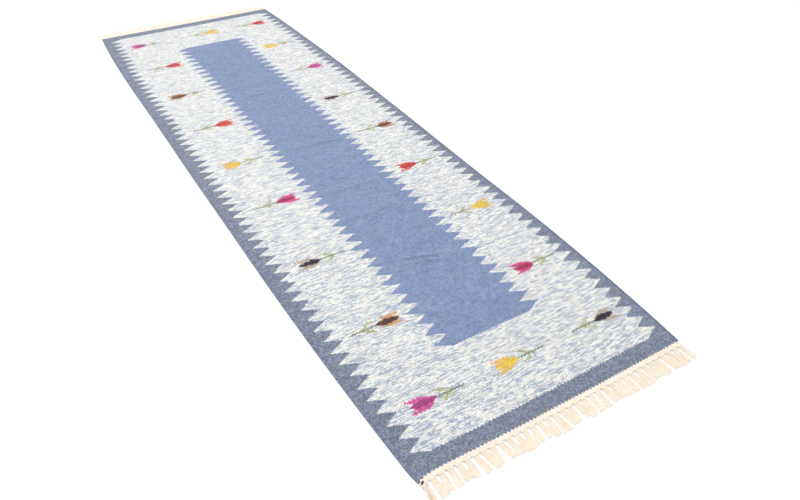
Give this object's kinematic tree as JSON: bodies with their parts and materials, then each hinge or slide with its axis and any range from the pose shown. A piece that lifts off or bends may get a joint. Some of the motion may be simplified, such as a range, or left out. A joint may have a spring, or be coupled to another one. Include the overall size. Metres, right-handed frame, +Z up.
{
  "type": "runner rug",
  "caption": "Long hand-woven flat rug with a toothed border, inlaid tulips round a plain centre, corded sides and a knotted fringe at each end.",
  "frame": {"origin": "on the floor under the middle of the rug", "axes": "+Y along the rug's length, from the front end to the back end; +X across its width; +Z up"},
  "size_m": [0.8036, 2.6218, 0.0065],
  "materials": {
    "slate_wool": "weft-faced flat weave, matt",
    "periwinkle_wool": "weft-faced flat weave, matt, faint woven streaks",
    "selvedge_wool": "corded edge wrapped in weft yarn, matt",
    "field_wool": "off-white flat weave mottled with light blue weft, matt",
    "cream_cotton": "undyed cotton yarn, twisted and knotted, matt",
    "magenta_wool": "inlaid weft yarn, matt",
    "yellow_wool": "inlaid weft yarn, matt",
    "red_wool": "inlaid weft yarn, matt",
    "pink_wool": "inlaid weft yarn, matt",
    "brown_wool": "inlaid weft yarn, matt",
    "beige_wool": "inlaid weft yarn, matt",
    "black_wool": "inlaid weft yarn, matt",
    "stem_wool": "inlaid weft yarn, matt",
    "leaf_wool": "inlaid weft yarn, matt"
  },
  "bodies": {
    "cloth": {"end_band_front": "slate_wool", "end_band_back": "slate_wool", "side_border_left": "slate_wool", "side_border_right": "slate_wool", "field_front": "field_wool", "field_back": "field_wool", "field_left": "field_wool", "field_right": "field_wool", "centre_field": "periwinkle_wool", "selvedge_left": "selvedge_wool", "selvedge_right": "selvedge_wool", "heading_front": "cream_cotton", "heading_back": "cream_cotton", "tulip_front_left": "magenta_wool", "tulip_front_middle": "yellow_wool", "tulip_front_right": "black_wool", "tulip_left_1": "beige_wool", "tulip_left_2": "black_wool", "tulip_left_3": "pink_wool", "tulip_left_4": "yellow_wool", "tulip_left_5": "red_wool", "tulip_left_6": "brown_wool", "tulip_left_7": "red_wool", "tulip_right_1": "pink_wool", "tulip_right_2": "yellow_wool", "tulip_right_3": "red_wool", "tulip_right_4": "brown_wool", "tulip_right_5": "black_wool", "tulip_right_6": "magenta_wool", "tulip_right_7": "yellow_wool", "tulip_back_left": "magenta_wool", "tulip_back_middle": "yellow_wool", "tulip_back_right": "red_wool"},
    "fringe_front_01": {"fringe_front_01": "cream_cotton"},
    "fringe_front_02": {"fringe_front_02": "cream_cotton"},
    "fringe_front_03": {"fringe_front_03": "cream_cotton"},
    "fringe_front_04": {"fringe_front_04": "cream_cotton"},
    "fringe_front_05": {"fringe_front_05": "cream_cotton"},
    "fringe_front_06": {"fringe_front_06": "cream_cotton"},
    "fringe_front_07": {"fringe_front_07": "cream_cotton"},
    "fringe_front_08": {"fringe_front_08": "cream_cotton"},
    "fringe_front_09": {"fringe_front_09": "cream_cotton"},
    "fringe_front_10": {"fringe_front_10": "cream_cotton"},
    "fringe_front_11": {"fringe_front_11": "cream_cotton"},
    "fringe_front_12": {"fringe_front_12": "cream_cotton"},
    "fringe_back_01": {"fringe_back_01": "cream_cotton"},
    "fringe_back_02": {"fringe_back_02": "cream_cotton"},
    "fringe_back_03": {"fringe_back_03": "cream_cotton"},
    "fringe_back_04": {"fringe_back_04": "cream_cotton"},
    "fringe_back_05": {"fringe_back_05": "cream_cotton"},
    "fringe_back_06": {"fringe_back_06": "cream_cotton"},
    "fringe_back_07": {"fringe_back_07": "cream_cotton"},
    "fringe_back_08": {"fringe_back_08": "cream_cotton"},
    "fringe_back_09": {"fringe_back_09": "cream_cotton"},
    "fringe_back_10": {"fringe_back_10": "cream_cotton"},
    "fringe_back_11": {"fringe_back_11": "cream_cotton"},
    "fringe_back_12": {"fringe_back_12": "cream_cotton"}
  },
  "joints": [
    {"name": "fringe_front_01_fold", "type": "hinge", "parent": "cloth", "child": "fringe_front_01", "pos_m": [-0.34467, -1.26, 0.0053], "axis": [-1, 0, 0], "range_deg": [0, 170]},
    {"name": "fringe_front_02_fold", "type": "hinge", "parent": "cloth", "child": "fringe_front_02", "pos_m": [-0.282, -1.26, 0.0053], "axis": [-1, 0, 0], "range_deg": [0, 170]},
    {"name": "fringe_front_03_fold", "type": "hinge", "parent": "cloth", "child": "fringe_front_03", "pos_m": [-0.21933, -1.26, 0.0053], "axis": [-1, 0, 0], "range_deg": [0, 170]},
    {"name": "fringe_front_04_fold", "type": "hinge", "parent": "cloth", "child": "fringe_front_04", "pos_m": [-0.15667, -1.26, 0.0053], "axis": [-1, 0, 0], "range_deg": [0, 170]},
    {"name": "fringe_front_05_fold", "type": "hinge", "parent": "cloth", "child": "fringe_front_05", "pos_m": [-0.094, -1.26, 0.0053], "axis": [-1, 0, 0], "range_deg": [0, 170]},
    {"name": "fringe_front_06_fold", "type": "hinge", "parent": "cloth", "child": "fringe_front_06", "pos_m": [-0.03133, -1.26, 0.0053], "axis": [-1, 0, 0], "range_deg": [0, 170]},
    {"name": "fringe_front_07_fold", "type": "hinge", "parent": "cloth", "child": "fringe_front_07", "pos_m": [0.03133, -1.26, 0.0053], "axis": [-1, 0, 0], "range_deg": [0, 170]},
    {"name": "fringe_front_08_fold", "type": "hinge", "parent": "cloth", "child": "fringe_front_08", "pos_m": [0.094, -1.26, 0.0053], "axis": [-1, 0, 0], "range_deg": [0, 170]},
    {"name": "fringe_front_09_fold", "type": "hinge", "parent": "cloth", "child": "fringe_front_09", "pos_m": [0.15667, -1.26, 0.0053], "axis": [-1, 0, 0], "range_deg": [0, 170]},
    {"name": "fringe_front_10_fold", "type": "hinge", "parent": "cloth", "child": "fringe_front_10", "pos_m": [0.21933, -1.26, 0.0053], "axis": [-1, 0, 0], "range_deg": [0, 170]},
    {"name": "fringe_front_11_fold", "type": "hinge", "parent": "cloth", "child": "fringe_front_11", "pos_m": [0.282, -1.26, 0.0053], "axis": [-1, 0, 0], "range_deg": [0, 170]},
    {"name": "fringe_front_12_fold", "type": "hinge", "parent": "cloth", "child": "fringe_front_12", "pos_m": [0.34467, -1.26, 0.0053], "axis": [-1, 0, 0], "range_deg": [0, 170]},
    {"name": "fringe_back_01_fold", "type": "hinge", "parent": "cloth", "child": "fringe_back_01", "pos_m": [-0.34467, 1.26, 0.0053], "axis": [1, 0, 0], "range_deg": [0, 170]},
    {"name": "fringe_back_02_fold", "type": "hinge", "parent": "cloth", "child": "fringe_back_02", "pos_m": [-0.282, 1.26, 0.0053], "axis": [1, 0, 0], "range_deg": [0, 170]},
    {"name": "fringe_back_03_fold", "type": "hinge", "parent": "cloth", "child": "fringe_back_03", "pos_m": [-0.21933, 1.26, 0.0053], "axis": [1, 0, 0], "range_deg": [0, 170]},
    {"name": "fringe_back_04_fold", "type": "hinge", "parent": "cloth", "child": "fringe_back_04", "pos_m": [-0.15667, 1.26, 0.0053], "axis": [1, 0, 0], "range_deg": [0, 170]},
    {"name": "fringe_back_05_fold", "type": "hinge", "parent": "cloth", "child": "fringe_back_05", "pos_m": [-0.094, 1.26, 0.0053], "axis": [1, 0, 0], "range_deg": [0, 170]},
    {"name": "fringe_back_06_fold", "type": "hinge", "parent": "cloth", "child": "fringe_back_06", "pos_m": [-0.03133, 1.26, 0.0053], "axis": [1, 0, 0], "range_deg": [0, 170]},
    {"name": "fringe_back_07_fold", "type": "hinge", "parent": "cloth", "child": "fringe_back_07", "pos_m": [0.03133, 1.26, 0.0053], "axis": [1, 0, 0], "range_deg": [0, 170]},
    {"name": "fringe_back_08_fold", "type": "hinge", "parent": "cloth", "child": "fringe_back_08", "pos_m": [0.094, 1.26, 0.0053], "axis": [1, 0, 0], "range_deg": [0, 170]},
    {"name": "fringe_back_09_fold", "type": "hinge", "parent": "cloth", "child": "fringe_back_09", "pos_m": [0.15667, 1.26, 0.0053], "axis": [1, 0, 0], "range_deg": [0, 170]},
    {"name": "fringe_back_10_fold", "type": "hinge", "parent": "cloth", "child": "fringe_back_10", "pos_m": [0.21933, 1.26, 0.0053], "axis": [1, 0, 0], "range_deg": [0, 170]},
    {"name": "fringe_back_11_fold", "type": "hinge", "parent": "cloth", "child": "fringe_back_11", "pos_m": [0.282, 1.26, 0.0053], "axis": [1, 0, 0], "range_deg": [0, 170]},
    {"name": "fringe_back_12_fold", "type": "hinge", "parent": "cloth", "child": "fringe_back_12", "pos_m": [0.34467, 1.26, 0.0053], "axis": [1, 0, 0], "range_deg": [0, 170]}
  ]
}
